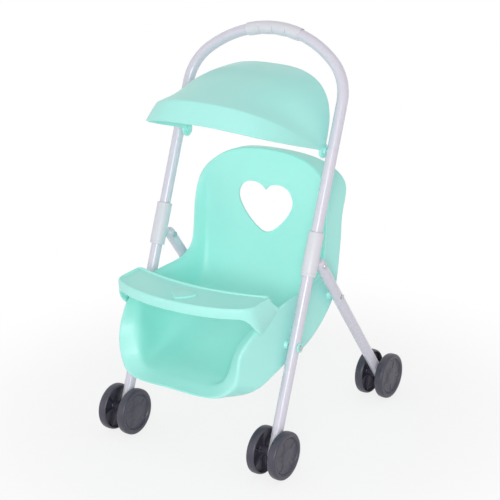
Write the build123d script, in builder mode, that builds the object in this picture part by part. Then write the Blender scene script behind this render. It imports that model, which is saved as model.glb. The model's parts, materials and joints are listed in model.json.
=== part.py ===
"""Doll stroller: a white tube frame that carries a moulded bucket seat, a tray, a tilting canopy and wheels.

Millimetres, +Z up, the doll faces -Y. The origin is on the floor, under the middle of the whole stroller.
Left and right are the left and right of whoever pushes it.
"""
import os
from math import asin, atan2, cos, degrees, hypot, radians, sin

from build123d import *

# Wheels and axles
wheel_d = 60.0
wheel_w = 13.0
wheel_web = 3.0
wheel_rim = 4.5
wheel_recess = 1.6
tread_round = 3.2
hub_d = 13.0
hub_step = 3.0
axle_d = 4.0
pocket_count = 5
pocket_depth = 0.8

# Frame tubes, measured along each leg from its axle
wheelbase = 257.0
half_track = 114.0
lean = 23.0
tube_d = 14.0
tube_wall = 1.0
leg_end = 20.0
foot_w = 9.0
foot_plug = 16.0
sleeve_bottom = 216.0
sleeve_len = 54.0
sleeve_d = 19.0
lug_s = 231.5
lug_reach = 25.2
lug_t = 6.0
pin_d = 5.0
pin_head_d = 8.0
pin_head_t = 1.1

# Handle arch: two shoulder arcs and a flatter top arc
arch_start = 427.0
arch_rise = 81.0
arch_shoulder_r = 62.0
grip_len = 79.0
grip_t = 0.7
grip_rings = 5
grip_ring_w = 2.0
grip_ring_t = 0.5

# Seat, measured forward, back and up from the front axle
seat_wall = 2.6
rim_wall = 5.0
lip_reach = 50.0
lip_drop = 78.0
armrest_h = 174.0
back_top_h = 317.0
rim_y = 147.0
plate_y = 165.0
flange_y = 205.0
floor_front_h = 84.0
floor_rise = 18.0
seat_half = 104.0
cheek_half = 106.0
lip_half = 98.0
cavity_floor_half = 76.0
cavity_top_half = 93.0
groove_room = 4.5
heart_w = 82.0
heart_h = 64.0
heart_tip_h = 212.0
heart_tip_r = 11.0
screw_d = 3.5
screw_head_d = 6.5
screw_head_t = 1.2
cap_d = 11.5
cap_t = 2.0
screw_len = 20.0
boss_d = 13.0
boss_len = 17.0
front_screw_s = 130.0
rear_screw_drop = 66.0

# Tray, above the front of the armrests
tray_over_arm = 16.0
tray_depth = 13.0
tray_floor_drop = 2.2
tray_rim = 4.5
tray_wall = 2.5
tray_back_y = 33.0
tray_back_mid_y = 14.0
tray_front_y = -17.0
tray_front_mid_y = -43.0
tray_corner = 8.0
flap_t = 2.4
flap_drop = 38.0
rib_x = 92.5
rib_t = 2.5

# Canopy, turning on two pins in the handle tube
canopy_s = 367.6
canopy_half = 103.0
canopy_wall = 2.2
canopy_reach = 124.0
canopy_front_rise = 46.0
canopy_brow_rise = 69.5
canopy_top_rise = 88.5
canopy_back_reach = 44.0
ear_d = 19.0
ear_t = 3.0
ear_pin_d = 5.0
ear_pin_head_d = 9.5
ear_pin_head_t = 2.2

# Fits: a turning shaft, a pushed-in plug, a seat of two faces, a gap beside a moving face
run_fit = 0.05
plug_fit = 0.05
seat_gap = 0.3
side_gap = 0.2

# Worked out from the sizes above
wheel_r = wheel_d / 2
tube_r = tube_d / 2
axle_z = wheel_r
front_axle_y = -(wheelbase + wheel_r - lip_reach) / 2
rear_axle_y = front_axle_y + wheelbase
slope = radians(lean)
front_up = Vector(0, sin(slope), cos(slope))
lug_out = Vector(0, cos(slope), -sin(slope))
front_foot = Vector(0, front_axle_y, axle_z)
rear_foot = Vector(0, rear_axle_y, axle_z)
lug_point = front_foot + front_up * lug_s + lug_out * lug_reach
rear_leg = lug_point - rear_foot
rear_up = rear_leg.normalized()
rear_len = rear_leg.length
canopy_point = front_foot + front_up * canopy_s
tray_top_h = armrest_h + tray_over_arm
front_screw_point = front_foot + front_up * front_screw_s
rear_screw_point = lug_point - rear_up * rear_screw_drop
sleeve_mid = sleeve_bottom + sleeve_len / 2
hub_in = foot_w / 2 + side_gap
wheel_in = hub_in + hub_step
wheel_out = wheel_in + wheel_w
web_out = wheel_out - wheel_recess
web_in = web_out - wheel_web
axle_end = web_out - wheel_web / 2
sides = {"left": 1, "right": -1}

os.makedirs("parts", exist_ok=True)


def save(piece, name):
    """Name a finished piece and write it."""
    piece.label = name
    export_step(piece, f"parts/{name}.step")


def leg_plane(foot, up, x, s):
    """Plane across a leg at a distance s above its axle, centred on the tube at x."""
    return Plane(origin=Vector(x, 0, 0) + foot + up * s, x_dir=(1, 0, 0), z_dir=up)


def side_plane(foot, up, x):
    """Plane along a leg, seen from the side: its x axis runs up the leg, its normal along X."""
    return Plane(origin=Vector(x, 0, 0) + foot, x_dir=up, z_dir=(1, 0, 0))


def across_plane(point, x):
    """Plane square to X through a point of the frame."""
    return Plane(origin=(x, point.Y, point.Z), x_dir=(0, 1, 0), z_dir=(1, 0, 0))


# Wheels: a closed outer disc with a raised ring and shallow pockets, hollow towards the leg
def make_wheel(name, foot, leg_x, facing):
    centre = Vector(leg_x, 0, 0) + foot
    section = Plane(origin=centre, x_dir=(facing, 0, 0), z_dir=(0, -facing, 0))
    face = Plane(origin=centre + Vector(facing * web_out, 0, 0), x_dir=(0, facing, 0), z_dir=(facing, 0, 0))
    ring_r = wheel_r - wheel_rim
    bore_r = axle_d / 2 + plug_fit
    with BuildPart() as wheel:
        with BuildSketch(section):
            with BuildLine():
                Polyline(
                    (hub_in, bore_r),
                    (hub_in, hub_d / 2),
                    (web_in, hub_d / 2),
                    (web_in, ring_r),
                    (wheel_in, ring_r),
                    (wheel_in, wheel_r - tread_round),
                )
                RadiusArc((wheel_in, wheel_r - tread_round), (wheel_in + tread_round, wheel_r), tread_round)
                Line((wheel_in + tread_round, wheel_r), (wheel_out - tread_round, wheel_r))
                RadiusArc((wheel_out - tread_round, wheel_r), (wheel_out, wheel_r - tread_round), tread_round)
                Polyline(
                    (wheel_out, wheel_r - tread_round),
                    (wheel_out, ring_r),
                    (web_out, ring_r),
                    (web_out, 0),
                    (axle_end, 0),
                    (axle_end, bore_r),
                    (hub_in, bore_r),
                )
            make_face()
        revolve(axis=Axis(centre, (1, 0, 0)))
        with BuildSketch(face):
            with PolarLocations((hub_d / 2 + ring_r) / 2, pocket_count):
                Circle((ring_r - hub_d / 2) / 2 - pocket_depth * 2)
        extrude(amount=-pocket_depth, mode=Mode.SUBTRACT)
    save(wheel.part, name)


def make_axle(name, foot, leg_x):
    with BuildPart() as axle:
        with BuildSketch(Plane(origin=Vector(leg_x, 0, 0) + foot, x_dir=(0, 1, 0), z_dir=(1, 0, 0))):
            Circle(axle_d / 2)
        extrude(amount=axle_end - side_gap, both=True)
    save(axle.part, name)


# Foot: a plug in the tube's lower end with a flat tongue that carries the axle
def make_foot(name, foot, up, leg_x):
    with BuildPart() as plug:
        with BuildSketch(side_plane(foot, up, leg_x)):
            Circle(tube_r)
            with Locations((leg_end / 2, 0)):
                Rectangle(leg_end, tube_d)
        extrude(amount=foot_w / 2, both=True)
        with BuildSketch(leg_plane(foot, up, leg_x, 0)):
            Circle(tube_r)
        extrude(amount=leg_end + tube_r, both=True, mode=Mode.INTERSECT)
        with BuildSketch(leg_plane(foot, up, leg_x, leg_end)):
            Circle(tube_r - tube_wall - plug_fit)
        extrude(amount=foot_plug)
        with BuildSketch(side_plane(foot, up, leg_x)):
            Circle(axle_d / 2 + run_fit)
        extrude(amount=foot_w, both=True, mode=Mode.SUBTRACT)
    save(plug.part, name)


for end, foot, up in (("front", front_foot, front_up), ("rear", rear_foot, rear_up)):
    for side, hand in sides.items():
        leg_x = hand * half_track
        make_wheel(f"{side}_{end}_outer_wheel", foot, leg_x, hand)
        make_wheel(f"{side}_{end}_inner_wheel", foot, leg_x, -hand)
        make_axle(f"{side}_{end}_axle", foot, leg_x)
        make_foot(f"{side}_{end}_foot", foot, up, leg_x)


def sketch_lug(leg_x, grow):
    """Side view of the lug behind the sleeve, grown by a clearance for the slot that takes it."""
    lug_r = tube_r - seat_gap + grow
    with BuildSketch(side_plane(front_foot, front_up, leg_x)) as sketch:
        with BuildLine():
            Polyline(
                (lug_s + lug_reach + grow, 0),
                (lug_s + lug_r, -lug_reach),
                (lug_s - lug_r, -lug_reach),
                (sleeve_bottom + sleeve_d / 4 - grow, 0),
                close=True,
            )
        make_face()
        with Locations((lug_s, -lug_reach)):
            Circle(lug_r)
    return sketch.sketch


# Legs: the front tube ends inside the sleeve, the rear tube is slotted for the sleeve's lug
def make_front_leg(name, leg_x):
    with BuildPart() as leg:
        with BuildSketch(leg_plane(front_foot, front_up, leg_x, leg_end)):
            Circle(tube_r)
            Circle(tube_r - tube_wall, mode=Mode.SUBTRACT)
        extrude(amount=sleeve_mid - seat_gap - leg_end)
        with BuildSketch(across_plane(front_screw_point, leg_x)):
            Circle(screw_d / 2 + run_fit)
        extrude(amount=tube_d, both=True, mode=Mode.SUBTRACT)
    save(leg.part, name)


def make_rear_leg(name, leg_x):
    with BuildPart() as leg:
        with BuildSketch(leg_plane(rear_foot, rear_up, leg_x, leg_end)):
            Circle(tube_r)
            Circle(tube_r - tube_wall, mode=Mode.SUBTRACT)
        extrude(amount=rear_len + tube_d - leg_end)
        with BuildSketch(side_plane(rear_foot, rear_up, leg_x)):
            with Locations((rear_len / 2, 0)):
                Rectangle(rear_len, tube_d + seat_gap * 2)
            with Locations((rear_len, 0)):
                Circle(tube_r + seat_gap)
        extrude(amount=tube_d, both=True, mode=Mode.INTERSECT)
        extrude(sketch_lug(leg_x, seat_gap), amount=lug_t / 2 + side_gap, both=True, mode=Mode.SUBTRACT)
        with BuildSketch(across_plane(lug_point, leg_x)):
            Circle(pin_d / 2 + run_fit)
        extrude(amount=tube_d, both=True, mode=Mode.SUBTRACT)
        with BuildSketch(across_plane(rear_screw_point, leg_x)):
            Circle(screw_d / 2 + run_fit)
        extrude(amount=tube_d, both=True, mode=Mode.SUBTRACT)
    save(leg.part, name)


# Sleeve: joins the handle to the front leg, with a lug behind it for the rear leg
def make_sleeve(name, leg_x):
    with BuildPart() as sleeve:
        extrude(sketch_lug(leg_x, 0), amount=lug_t / 2, both=True)
        with BuildSketch(leg_plane(front_foot, front_up, leg_x, sleeve_bottom)):
            Circle(sleeve_d / 2)
        extrude(amount=sleeve_len)
        fillet(sleeve.edges().filter_by(GeomType.CIRCLE).filter_by(lambda e: e.radius == sleeve_d / 2), 1.0)
        with BuildSketch(leg_plane(front_foot, front_up, leg_x, sleeve_bottom)):
            Circle(tube_r + plug_fit)
        extrude(amount=sleeve_len, mode=Mode.SUBTRACT)
        with BuildSketch(across_plane(lug_point, leg_x)):
            Circle(pin_d / 2 + run_fit)
        extrude(amount=tube_d, both=True, mode=Mode.SUBTRACT)
    save(sleeve.part, name)


# Rivet through the rear leg and the lug, with a flat head on each side
def make_leg_pin(name, leg_x):
    with BuildPart() as pin:
        with BuildSketch(across_plane(lug_point, leg_x)):
            Circle(pin_d / 2)
        extrude(amount=tube_r + side_gap, both=True)
        for way in (-1, 1):
            with BuildSketch(across_plane(lug_point, leg_x + way * (tube_r + side_gap))):
                Circle(pin_head_d / 2)
            extrude(amount=way * pin_head_t)
    save(pin.part, name)


for side, hand in sides.items():
    make_front_leg(f"{side}_front_leg", hand * half_track)
    make_rear_leg(f"{side}_rear_leg", hand * half_track)
    make_sleeve(f"{side}_sleeve", hand * half_track)
    make_leg_pin(f"{side}_leg_pin", hand * half_track)

# Handle: one bent tube from sleeve to sleeve, in the leaning plane of the front legs
shoulder_run = half_track - arch_shoulder_r
shoulder_rise = arch_rise - arch_shoulder_r
arch_drop = (shoulder_run**2 - shoulder_rise**2) / (2 * shoulder_rise)
arch_top_r = arch_rise + arch_drop
arch_turn = degrees(atan2(shoulder_run, arch_drop))
handle_plane = Plane(origin=front_foot, x_dir=(1, 0, 0), z_dir=-lug_out)
handle_start = sleeve_mid + seat_gap

with BuildPart() as handle_tube:
    with BuildLine(handle_plane):
        Line((-half_track, handle_start), (-half_track, arch_start))
        CenterArc((-shoulder_run, arch_start), arch_shoulder_r, 180, -(90 - arch_turn))
        CenterArc((0, arch_start - arch_drop), arch_top_r, 90 + arch_turn, -2 * arch_turn)
        CenterArc((shoulder_run, arch_start), arch_shoulder_r, 90 - arch_turn, -(90 - arch_turn))
        Line((half_track, arch_start), (half_track, handle_start))
    with BuildSketch(leg_plane(front_foot, front_up, -half_track, handle_start)):
        Circle(tube_r)
        Circle(tube_r - tube_wall, mode=Mode.SUBTRACT)
    sweep()
    with BuildSketch(across_plane(canopy_point, 0)):
        Circle(ear_pin_d / 2 + run_fit)
    extrude(amount=half_track, both=True, mode=Mode.SUBTRACT)
save(handle_tube.part, "handle_tube")


def grip_band(turn, centre_turn, outer):
    """Ring-shaped sleeve along the top arc, over a span of turn degrees about centre_turn."""
    start = 90 + centre_turn + turn / 2
    with BuildPart() as band:
        with BuildLine(handle_plane) as path:
            CenterArc((0, arch_start - arch_drop), arch_top_r, start, -turn)
        with BuildSketch(Plane(origin=path.line @ 0, z_dir=path.line % 0)):
            Circle(outer)
            Circle(tube_r + plug_fit, mode=Mode.SUBTRACT)
        sweep()
    return band.part


grip_turn = degrees(grip_len / arch_top_r)
ring_turn = degrees(grip_ring_w / arch_top_r)
ring_step = (grip_turn - ring_turn) / (grip_rings - 1)
with BuildPart() as handle_grip:
    add(grip_band(grip_turn, 0, tube_r + grip_t))
    for ring in range(grip_rings):
        ring_place = (ring - (grip_rings - 1) / 2) * ring_step
        add(grip_band(ring_turn, ring_place, tube_r + grip_t + grip_ring_t))
save(handle_grip.part, "handle_grip")

# Seat: a thin shell made as an outer form, less the doll's space, less the hollow under its turned-over rim.
# Outlines are points relative to the front axle: (back, up) from the side, (across, up) and (across, back).
seat_span = half_track * 4
side_view = Plane(origin=front_foot - Vector(seat_span / 2, 0, 0), x_dir=(0, 1, 0), z_dir=(1, 0, 0))
front_view = Plane(origin=front_foot + Vector(0, seat_span, 0), x_dir=(1, 0, 0), z_dir=(0, -1, 0))
top_view = Plane(origin=front_foot, x_dir=(1, 0, 0), z_dir=(0, 0, 1))
arm_front = (-16.0, armrest_h - 20.5)
arm_back = (30.0, armrest_h - 3.0)
arm_rise = (arm_back[1] - arm_front[1]) / (arm_back[0] - arm_front[0])


def side_form(inset, spill):
    """Side view of the rim and skirt: the rim pulled in by inset, the open skirt pushed out by spill."""
    lip = [
        (-lip_reach + 1 + inset, lip_drop),
        (-lip_reach + inset, lip_drop + 17),
        (-lip_reach + inset, lip_drop + 34),
        (-lip_reach + 4 + inset, lip_drop + 49),
        (-lip_reach + 14 + inset, lip_drop + 61 - inset),
        (arm_front[0], arm_front[1] - inset),
    ]
    rim = [
        (arm_back[0], arm_back[1] - inset),
        (54, armrest_h - inset),
        (rim_y - 37, armrest_h - inset),
    ]
    back = [
        (rim_y - 37, armrest_h - inset),
        (rim_y - 16 + inset * 0.6, armrest_h + 5 - inset * 0.8),
        (rim_y - 6 + inset, armrest_h + 16),
        (rim_y - 1 + inset, armrest_h + 38),
        (rim_y + 3 + inset, (armrest_h + back_top_h + 1) / 2),
        (rim_y + 13 + inset, back_top_h - 45),
        (rim_y + 24 + inset, back_top_h - 30),
        (plate_y + 13 + inset, back_top_h - 12),
        (plate_y + 16 + inset, back_top_h - inset),
    ]
    behind = [
        (plate_y + 22, back_top_h - inset),
        (flange_y - 8 + spill, back_top_h - 6),
        (flange_y + spill, back_top_h - 22),
        (flange_y - 3 + spill, back_top_h - 42),
        (flange_y - 19 + spill, back_top_h - 68),
        (plate_y + 11 + spill, back_top_h - 92),
        (plate_y + 9 + spill, back_top_h - 121),
        (plate_y + 4 + spill, back_top_h - 150 - spill),
        (plate_y - 16 + spill, floor_front_h + 46 - spill),
        (plate_y - 36, floor_front_h + 32 - spill),
        (plate_y - 56, floor_front_h + 22 - spill),
        (80, floor_front_h + 14 - spill),
        (46, lip_drop + 12 - spill),
        (20, lip_drop + 1 - spill),
        (-4, lip_drop - 3 - spill),
        (-lip_reach + 20, lip_drop - 3 - spill),
        (-lip_reach + 1 + inset, lip_drop - spill),
    ]
    return lip, rim, back, behind


def sketch_side_form(inset, spill):
    lip, rim, back, behind = side_form(inset, spill)
    with BuildSketch(side_view) as sketch:
        with BuildLine():
            Spline(*lip, tangents=[(-0.2, 1), (1, arm_rise)])
            Line(lip[-1], rim[0])
            Spline(*rim, tangents=[(1, arm_rise), (1, 0)])
            Spline(*back, tangents=[(1, 0), (0.1, 1)])
            Line(back[-1], behind[0])
            Spline(*behind)
            if spill:
                Line(behind[-1], lip[0])
        make_face()
    return sketch.sketch


def sketch_front_form(inset, spill):
    """Front view: rounded lower corners and the shoulders of the back."""
    reach = half_track - inset
    with BuildSketch(front_view) as sketch:
        with BuildLine():
            Polyline(
                (0, back_top_h - inset),
                (0, lip_drop - 8 - spill),
                (lip_half - 20 - inset, lip_drop - 8 - spill),
                (lip_half - 20 - inset, lip_drop - 4 + inset),
            )
            Spline(
                (lip_half - 20 - inset, lip_drop - 4 + inset),
                (lip_half - 4 - inset, lip_drop + inset),
                (lip_half + 2 - inset, lip_drop + 10 + inset),
                (lip_half + 7 - inset, lip_drop + 40),
                (reach, lip_drop + 82),
            )
            Line((reach, lip_drop + 82), (reach, back_top_h - 88))
            Spline(
                (reach, back_top_h - 88),
                (104 - inset, back_top_h - 52),
                (98 - inset * 0.9, back_top_h - 34 - inset * 0.4),
                (84 - inset * 0.7, back_top_h - 18 - inset * 0.7),
                (64 - inset * 0.4, back_top_h - 9 - inset * 0.9),
                (40, back_top_h - 3 - inset),
                (0, back_top_h - inset),
                tangents=[(0, 1), (-1, 0)],
            )
        make_face()
        mirror(about=Plane.YZ)
    return sketch.sketch


def sketch_plan_form(inset, far):
    """Top view: the bowed lip and the sides, which stand clear of the front legs."""
    with BuildSketch(top_view) as sketch:
        with BuildLine():
            Polyline((0, -lip_reach + inset), (0, far), (seat_half - inset, far), (seat_half - inset, 90))
            Spline(
                (seat_half - inset, 90),
                (cheek_half - inset, 48),
                (cheek_half - 2 - inset, 24),
                (lip_half + 1 - inset, 0),
                (lip_half - 4 - inset, -lip_reach + 28 + inset * 0.4),
                (lip_half - 13 - inset * 0.8, -lip_reach + 14 + inset * 0.7),
                (lip_half - 28 - inset * 0.5, -lip_reach + 5 + inset),
                (44, -lip_reach + 1 + inset),
                (0, -lip_reach + inset),
                tangents=[(0, -1), (-1, 0)],
            )
        make_face()
        mirror(about=Plane.YZ)
    return sketch.sketch


def seat_form(inset, rim_inset, spill):
    """The seat's outer form, pulled in on every wall and left open below and behind."""
    with BuildPart() as form:
        extrude(sketch_side_form(rim_inset, spill), amount=seat_span)
        extrude(sketch_front_form(inset, spill), amount=seat_span * 2, mode=Mode.INTERSECT)
        extrude(sketch_plan_form(inset, flange_y * 2 + spill), amount=seat_span, mode=Mode.INTERSECT)
    return form.part


def seat_space(grow):
    """The space where the doll sits, grown by the wall's thickness for its outside."""
    floor = [
        (-lip_reach - 20, floor_front_h - 3 - grow),
        (-20, floor_front_h - grow),
        (20, floor_front_h + floor_rise * 0.2 - grow),
        (80, floor_front_h + floor_rise - grow),
        (plate_y - 45 + grow * 0.4, floor_front_h + floor_rise + 14 - grow * 0.9),
        (plate_y - 20 + grow * 0.8, floor_front_h + floor_rise + 32 - grow * 0.7),
        (plate_y - 8 + grow, floor_front_h + floor_rise + 58),
        (plate_y - 2 + grow, floor_front_h + floor_rise + 90),
        (plate_y + grow, heart_tip_h + heart_h / 2),
        (plate_y + 5 + grow, back_top_h - 30),
        (plate_y + 16 + grow, back_top_h + 10),
    ]
    with BuildPart() as space:
        with BuildSketch(side_view):
            with BuildLine():
                Spline(*floor)
                Polyline(floor[-1], (-lip_reach - 20, back_top_h + 10), floor[0])
            make_face()
        extrude(amount=seat_span)
        with BuildSketch(front_view):
            with BuildLine():
                Polyline(
                    (0, back_top_h + 20),
                    (0, floor_front_h - 20),
                    (cavity_floor_half + grow, floor_front_h - 20),
                    (cavity_floor_half + grow, floor_front_h + 20),
                )
                Spline(
                    (cavity_floor_half + grow, floor_front_h + 20),
                    (cavity_top_half - 6 + grow, armrest_h - 20),
                    (cavity_top_half + grow, armrest_h + 40),
                    (cavity_top_half + grow, back_top_h - 70),
                )
                Spline(
                    (cavity_top_half + grow, back_top_h - 70),
                    (88 + grow, back_top_h - 40),
                    (70 + grow, back_top_h - 20),
                    (42 + grow * 0.4, back_top_h + 8),
                    (0, back_top_h + 20),
                    tangents=[(0, 1), (-1, 0)],
                )
            make_face()
            mirror(about=Plane.YZ)
        extrude(amount=seat_span * 2, mode=Mode.INTERSECT)
    return space.part



def screw_bosses(inner):
    """Four posts that carry the seat's screws: two on the front legs, two on the rear legs."""
    with BuildPart() as posts:
        for hand in sides.values():
            for point in (front_screw_point, rear_screw_point):
                with BuildSketch(across_plane(point, hand * (half_track - tube_r - side_gap))):
                    Circle(boss_d / 2)
                extrude(amount=-hand * inner)
    return posts.part


def screw_holes(radius, depth):
    with BuildPart() as holes:
        for hand in sides.values():
            for point in (front_screw_point, rear_screw_point):
                with BuildSketch(across_plane(point, hand * half_track)):
                    Circle(radius)
                extrude(amount=-hand * depth)
    return holes.part


with BuildPart() as seat_hollow:
    add(seat_form(seat_wall, rim_wall, 8))
    add(seat_space(seat_wall), mode=Mode.SUBTRACT)
    for hand in sides.values():
        with BuildSketch(leg_plane(front_foot, front_up, hand * half_track, 0)):
            Circle(tube_r + groove_room + seat_wall)
        extrude(amount=arch_start, mode=Mode.SUBTRACT)

lobe_r = heart_w * 0.26
lobe_x = heart_w / 2 - lobe_r
lobe_h = heart_tip_h + heart_h - lobe_r
tip_h = heart_tip_h - heart_tip_r * 0.4

with BuildPart() as seat_shell:
    add(seat_form(0, 0, 0))
    add(seat_space(0), mode=Mode.SUBTRACT)
    for hand in sides.values():
        with BuildSketch(leg_plane(front_foot, front_up, hand * half_track, 0)):
            Circle(tube_r + groove_room)
        extrude(amount=arch_start, mode=Mode.SUBTRACT)
    add(seat_hollow.part, mode=Mode.SUBTRACT)
    add(screw_bosses(boss_len))
    add(seat_space(seat_wall / 2), mode=Mode.SUBTRACT)
    add(screw_holes(screw_d / 2 - plug_fit, screw_len), mode=Mode.SUBTRACT)
    with BuildSketch(Plane(origin=front_foot, x_dir=(1, 0, 0), z_dir=(0, -1, 0))) as heart:
        with BuildLine():
            ThreePointArc(
                (0, lobe_h + (lobe_r**2 - lobe_x**2) ** 0.5),
                (lobe_x, lobe_h + lobe_r),
                (heart_w / 2, lobe_h),
            )
            Spline(
                (heart_w / 2, lobe_h),
                (heart_w * 0.3, tip_h + (lobe_h - tip_h) * 0.42),
                (0, tip_h),
                tangents=[(0, -1), (-1, -0.95)],
            )
            Line((0, tip_h), (0, lobe_h + (lobe_r**2 - lobe_x**2) ** 0.5))
        make_face()
        mirror(about=Plane.YZ)
        fillet(heart.vertices().sort_by(Axis.Y)[0], heart_tip_r)
    extrude(amount=-seat_span, mode=Mode.SUBTRACT)
save(seat_shell.part, "seat_shell")


# Screws: one through each leg into a post of the seat; the front ones sit on round caps
def make_screws(name, point, seat_x):
    with BuildPart() as screws:
        for hand in sides.values():
            with BuildSketch(across_plane(point, hand * seat_x)):
                Circle(screw_d / 2 - plug_fit * 2)
            extrude(amount=-hand * (seat_x - half_track + screw_len - side_gap))
            with BuildSketch(across_plane(point, hand * seat_x)):
                Circle(screw_head_d / 2)
            extrude(amount=hand * screw_head_t)
    save(screws.part, name)


make_screws("front_seat_screws", front_screw_point, half_track + tube_r + cap_t)
make_screws("rear_seat_screws", rear_screw_point, half_track + tube_r)

with BuildPart() as front_screw_caps:
    for hand in sides.values():
        with BuildSketch(across_plane(front_screw_point, hand * (half_track + tube_r))):
            Circle(cap_d / 2)
            Circle(screw_d / 2 + run_fit, mode=Mode.SUBTRACT)
        extrude(amount=hand * cap_t)
save(front_screw_caps.part, "front_screw_caps")

# Tray: a shallow dish across the armrests, with an end flap outside each arm and ribs resting on the arms
tray_plane = Plane(origin=front_foot + Vector(0, 0, tray_top_h), x_dir=(1, 0, 0), z_dir=(0, 0, 1))
flap_in = -side_gap * 2
flap_out = flap_in - flap_t
rib_bottom = [
    (arm_front[0] + 2, arm_front[1] + 2 * arm_rise + seat_gap),
    (arm_back[0] - 6, arm_back[1] - 6 * arm_rise + seat_gap),
]


def tray_form(inset, high, low):
    """The tray's outline pulled in by inset, between two heights below its top edge."""
    with BuildPart() as form:
        with BuildSketch(tray_plane.offset(-high)):
            with BuildLine():
                back = tray_back_y - inset
                front = tray_front_y + inset
                middle = tray_back_mid_y - inset
                back_arc = ThreePointArc((-half_track, back), (0, middle), (half_track, back))
                Line(back_arc @ 1, (half_track, front))
                ThreePointArc((half_track, front), (0, tray_front_mid_y + inset), (-half_track, front))
                Line((-half_track, front), back_arc @ 0)
            make_face()
        extrude(amount=high - low)
        extrude(sketch_plan_form(flap_out + inset, flange_y), amount=seat_span, mode=Mode.INTERSECT)
        fillet(form.edges().filter_by(lambda edge: abs((edge % 0.5).Z) > 0.99), tray_corner - inset)
    return form.part


with BuildPart() as flaps:
    with BuildSketch(side_view):
        with BuildLine():
            Polyline(
                (tray_front_y - 4, tray_top_h - tray_depth),
                (tray_front_y + 2, tray_top_h - 2),
                (tray_back_y - 9, tray_top_h - 2),
                (tray_back_y + 6, tray_top_h - flap_drop * 0.48),
                (tray_front_y + 20, tray_top_h - flap_drop),
                (tray_front_y + 12, tray_top_h - flap_drop + 2),
                close=True,
            )
        make_face()
    extrude(amount=seat_span)
    extrude(sketch_plan_form(flap_out, flange_y), amount=seat_span, mode=Mode.INTERSECT)
    extrude(sketch_plan_form(flap_in, flange_y), amount=seat_span, mode=Mode.SUBTRACT)

with BuildPart() as tray:
    add(tray_form(0, 0, tray_depth))
    add(tray_form(tray_rim, 0, tray_floor_drop), mode=Mode.SUBTRACT)
    add(tray_form(tray_wall, tray_floor_drop + tray_wall, tray_depth), mode=Mode.SUBTRACT)
    add(flaps.part)
    for hand in sides.values():
        with BuildSketch(across_plane(front_foot, hand * rib_x)):
            with BuildLine():
                Polyline(
                    *rib_bottom,
                    (rib_bottom[1][0], tray_top_h - tray_floor_drop - tray_wall / 2),
                    (rib_bottom[0][0], tray_top_h - tray_floor_drop - tray_wall / 2),
                    close=True,
                )
            make_face()
        extrude(amount=hand * rib_t)
save(tray.part, "tray")

# Canopy: an open shell through arches that fan out from the pin line; each arch is a rounded-off ellipse
arches = [
    (-canopy_reach, canopy_front_rise, 3.8),
    (-canopy_reach + 16, canopy_brow_rise, 3.0),
    (-canopy_reach * 0.6, canopy_top_rise - 10, 2.8),
    (-canopy_reach * 0.3, canopy_top_rise - 3, 2.6),
    (canopy_back_reach * 0.1, canopy_top_rise, 2.5),
    (canopy_back_reach, canopy_top_rise - 1, 2.6),
]
arch_points = 13


def arch_line(half, reach, power, foot):
    """Half an arch from its foot above the pin line to its top, mirrored to the other side."""
    points = []
    first = asin((foot / reach) ** (power / 2))
    last = radians(180) - first
    for i in range(arch_points):
        turn = first + (last - first) * i / (arch_points - 1)
        across = abs(cos(turn)) ** (2 / power) * half
        points.append((across if turn < radians(90) else -across, sin(turn) ** (2 / power) * reach))
    return points


def arch_section(back, rise, power):
    """Cross-section of the shell along one arch."""
    reach = hypot(back, rise)
    arch_up = Vector(0, back, rise).normalized()
    outer = arch_line(canopy_half, reach, power, ear_d / 2 - 1)
    inner = arch_line(canopy_half - canopy_wall, reach - canopy_wall, power, ear_d / 2 - 1)
    arch_plane = Plane(origin=canopy_point, x_dir=(1, 0, 0), z_dir=Vector(1, 0, 0).cross(arch_up))
    with BuildSketch(arch_plane) as section:
        with BuildLine():
            Spline(*outer)
            Line(outer[-1], inner[-1])
            Spline(*inner[::-1])
            Line(inner[0], outer[0])
        make_face()
    return section.sketch


with BuildPart() as canopy:
    loft([arch_section(*arch) for arch in arches[1:]])
    loft([arch_section(*arch) for arch in arches[:2]], ruled=True)
    for hand in sides.values():
        with BuildSketch(across_plane(canopy_point, hand * canopy_half)):
            Circle(ear_d / 2)
        extrude(amount=-hand * ear_t)
        with BuildSketch(across_plane(canopy_point, hand * canopy_half)):
            Circle(ear_pin_d / 2 + run_fit)
        extrude(amount=hand * ear_t * 2, both=True, mode=Mode.SUBTRACT)
save(canopy.part, "canopy")


# Pin of the canopy: fixed in the handle tube, with a collar outside the ear and a head inside it
def make_canopy_pin(name, hand):
    ear_out = canopy_half + side_gap
    ear_in = canopy_half - ear_t - side_gap
    with BuildPart() as pin:
        with BuildSketch(across_plane(canopy_point, hand * ear_in)):
            Circle(ear_pin_d / 2)
        extrude(amount=hand * (half_track + tube_r - tube_wall * 2 - ear_in))
        with BuildSketch(across_plane(canopy_point, hand * ear_in)):
            Circle(ear_pin_head_d / 2)
        extrude(amount=-hand * ear_pin_head_t)
        with BuildSketch(across_plane(canopy_point, hand * ear_out)):
            Circle(ear_pin_head_d / 2)
        extrude(amount=hand * (half_track - tube_r - side_gap - ear_out))
    save(pin.part, name)


for side, hand in sides.items():
    make_canopy_pin(f"{side}_canopy_pin", hand)
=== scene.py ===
import json
from math import cos, pi, radians, sin, sqrt

import bmesh
import bpy
from mathutils import Matrix, Vector
from mathutils.geometry import interpolate_bezier


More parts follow.
